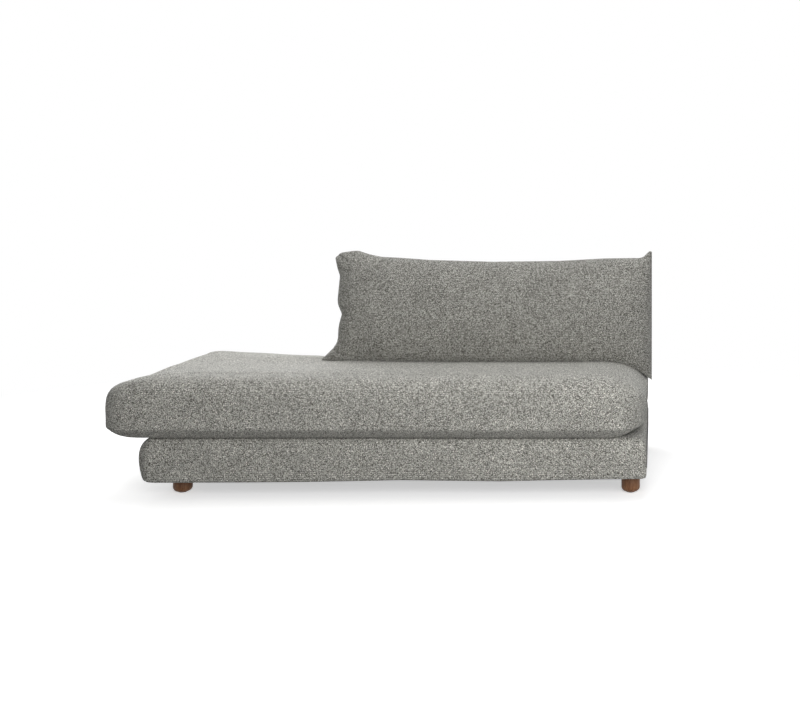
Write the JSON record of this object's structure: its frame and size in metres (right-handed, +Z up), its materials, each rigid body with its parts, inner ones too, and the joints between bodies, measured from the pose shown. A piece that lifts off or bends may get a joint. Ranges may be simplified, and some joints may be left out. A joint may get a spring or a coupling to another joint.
{
  "type": "modular sofa section",
  "caption": "Open-ended modular sofa section: low upholstered base on turned wooden legs, deep seat cushion reaching round the back frame, loose back cushion and swing-out connectors.",
  "frame": {"origin": "on the floor, under the middle of the section's length and depth", "axes": "+X along the length towards the joining end, -Y towards the front, +Z up"},
  "size_m": [2, 1.045, 0.8718],
  "materials": {
    "tweed": "chunky grey salt and pepper tweed",
    "walnut": "satin stained beech",
    "pine": "sawn softwood",
    "plywood": "birch plywood and hardboard",
    "foam": "open-cell foam",
    "fibre": "polyester fibre wadding",
    "lining": "black spun-bonded lining",
    "webbing": "elastic webbing",
    "steel": "zinc plated",
    "zip": "woven zip tape with nylon coil",
    "zip_metal": "nickel plated",
    "glide": "moulded polypropylene"
  },
  "bodies": {
    "base": {"base_front_rail": "pine", "base_rear_rail": "pine", "base_open_end_rail": "pine", "base_joining_rail": "pine", "base_cross_rails": "pine", "base_corner_blocks": "pine", "corner_block_screws": "steel", "leg_plates": "plywood", "connector_blocks": "pine", "crosswise_webbing": "webbing", "lengthwise_webbing": "webbing", "deck_foam": "foam", "deck_cloth": "lining", "base_edge_padding": "foam", "base_cover": "tweed", "base_dust_cloth": "lining", "joining_side_panel": "lining", "front_left_leg": "walnut", "front_right_leg": "walnut", "rear_left_leg": "walnut", "rear_right_leg": "walnut", "leg_bolts": "steel", "leg_tee_nuts": "steel", "leg_glides": "glide", "back_left_post": "plywood", "back_middle_post": "plywood", "back_right_post": "plywood", "back_top_rail": "pine", "back_bottom_rail": "pine", "back_webbing": "webbing", "back_rear_board": "plywood", "back_frame_foam": "foam", "back_frame_cover": "tweed", "back_frame_bolts": "steel", "back_frame_nuts": "steel", "connector_pivot_bolts": "steel", "connector_bushes": "steel"},
    "seat_cushion": {"seat_foam_core": "foam", "seat_fibre_wrap": "fibre", "seat_cushion_cover": "tweed", "seat_zip": "zip"},
    "seat_slider": {"seat_zip_slider": "zip_metal"},
    "back_cushion": {"back_fibre_fill": "fibre", "back_cushion_cover": "tweed", "back_zip": "zip"},
    "back_slider": {"back_zip_slider": "zip_metal"},
    "front_link": {"front_connector_plate": "steel"},
    "rear_link": {"rear_connector_plate": "steel"}
  },
  "joints": [
    {"name": "seat_cushion_lift", "type": "slide", "parent": "base", "child": "seat_cushion", "axis": [0, 0, 1], "range_m": [0, 0.25]},
    {"name": "back_cushion_lift", "type": "slide", "parent": "seat_cushion", "child": "back_cushion", "axis": [0, 0, 1], "range_m": [0, 0.25]},
    {"name": "front_link_swing", "type": "hinge", "parent": "base", "child": "front_link", "pos_m": [0.912, -0.15, 0.0643], "axis": [0, 0, -1], "range_deg": [0, 90]},
    {"name": "rear_link_swing", "type": "hinge", "parent": "base", "child": "rear_link", "pos_m": [0.912, 0.2, 0.0643], "axis": [0, 0, 1], "range_deg": [0, 90]},
    {"name": "seat_zip_travel", "type": "slide", "parent": "seat_cushion", "child": "seat_slider", "axis": [1, 0, 0], "range_m": [0, 0.96]},
    {"name": "back_zip_travel", "type": "slide", "parent": "back_cushion", "child": "back_slider", "axis": [1, 0, 0], "range_m": [0, 0.56]}
  ]
}
